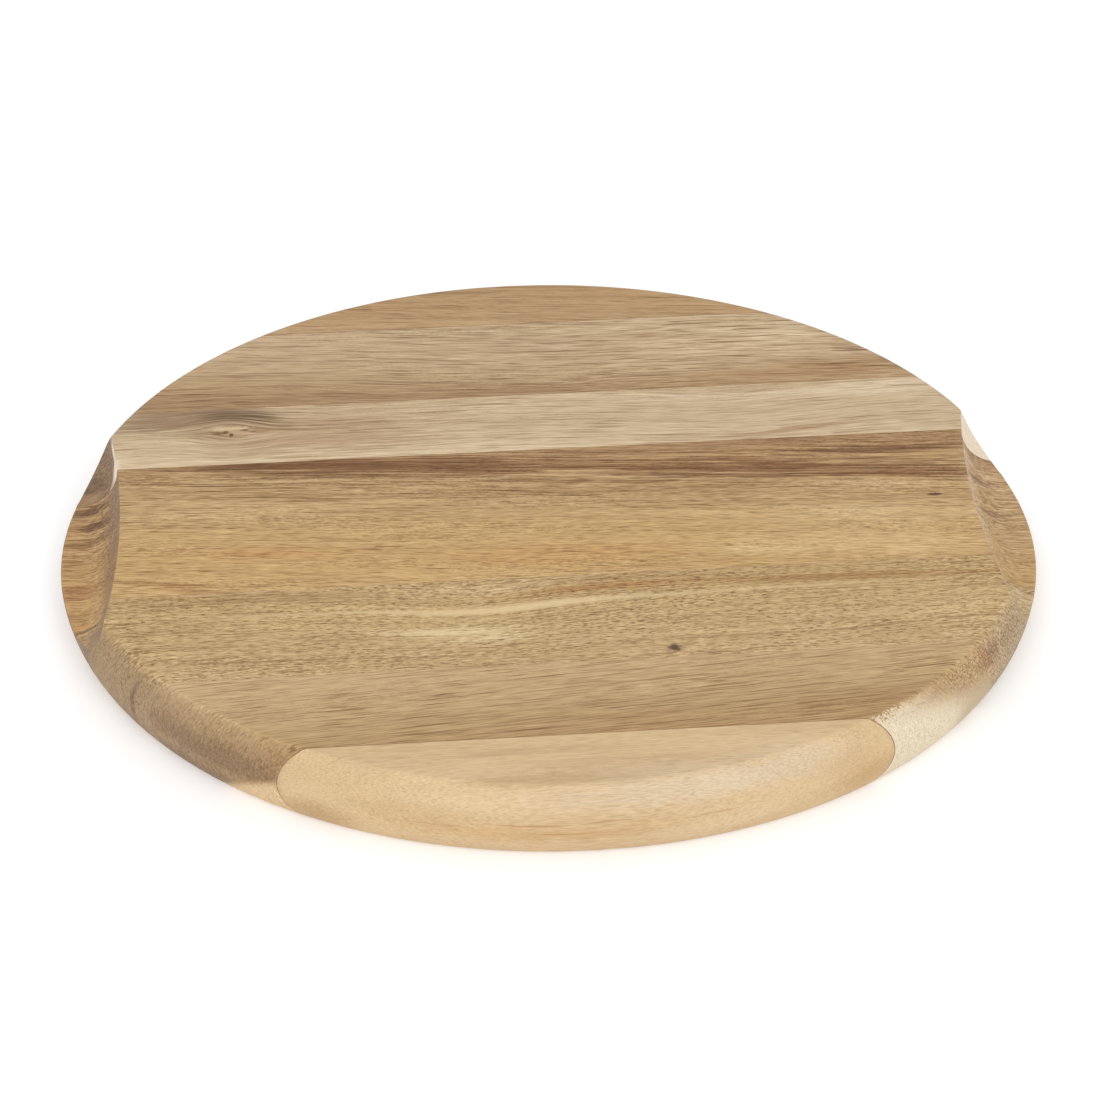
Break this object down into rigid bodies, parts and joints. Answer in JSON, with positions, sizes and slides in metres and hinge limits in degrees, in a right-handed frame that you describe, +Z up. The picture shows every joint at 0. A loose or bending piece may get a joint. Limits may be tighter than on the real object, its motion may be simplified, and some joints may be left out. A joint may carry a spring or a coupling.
{
  "type": "round serving board",
  "caption": "Round wooden serving board of edge-glued staves, with a rounded rim and a thumb grip scooped into the top edge at each end of the grain.",
  "frame": {"origin": "middle of the flat underside, on the disc's axis", "axes": "+Z up through the serving face; +X along the grain towards the right-hand grip; +Y across the staves, from the near rim to the far rim"},
  "size_m": [0.3198, 0.32, 0.025],
  "materials": {
    "stave_1_far_edge": "oiled acacia, warm orange-brown, fine straight streaks",
    "stave_2_pored": "oiled acacia, tan with short dark pore dashes, browner along its near edge",
    "stave_3_sapwood": "oiled acacia sapwood, pale cream with a smoky knot near the left end",
    "stave_4_heartwood": "oiled acacia heartwood, dark bands along the far edge fading to gold",
    "stave_5_interlocked": "oiled acacia, khaki tan with interlocked, dotted grain and a pale wavy line",
    "stave_6_straight": "oiled acacia, tan-brown, straight grain, darker towards its near edge",
    "stave_7_near_edge": "oiled acacia, pale honey, plain grain",
    "glue": "cured wood glue, thin brown line"
  },
  "bodies": {
    "root": {"stave_1_far_edge": "stave_1_far_edge", "stave_2_pored": "stave_2_pored", "stave_3_sapwood": "stave_3_sapwood", "stave_4_heartwood": "stave_4_heartwood", "stave_5_interlocked": "stave_5_interlocked", "stave_6_straight": "stave_6_straight", "stave_7_near_edge": "stave_7_near_edge", "glue_line_1_2": "glue", "glue_line_2_3": "glue", "glue_line_3_4": "glue", "glue_line_4_5": "glue", "glue_line_5_6": "glue", "glue_line_6_7": "glue"}
  },
  "joints": []
}
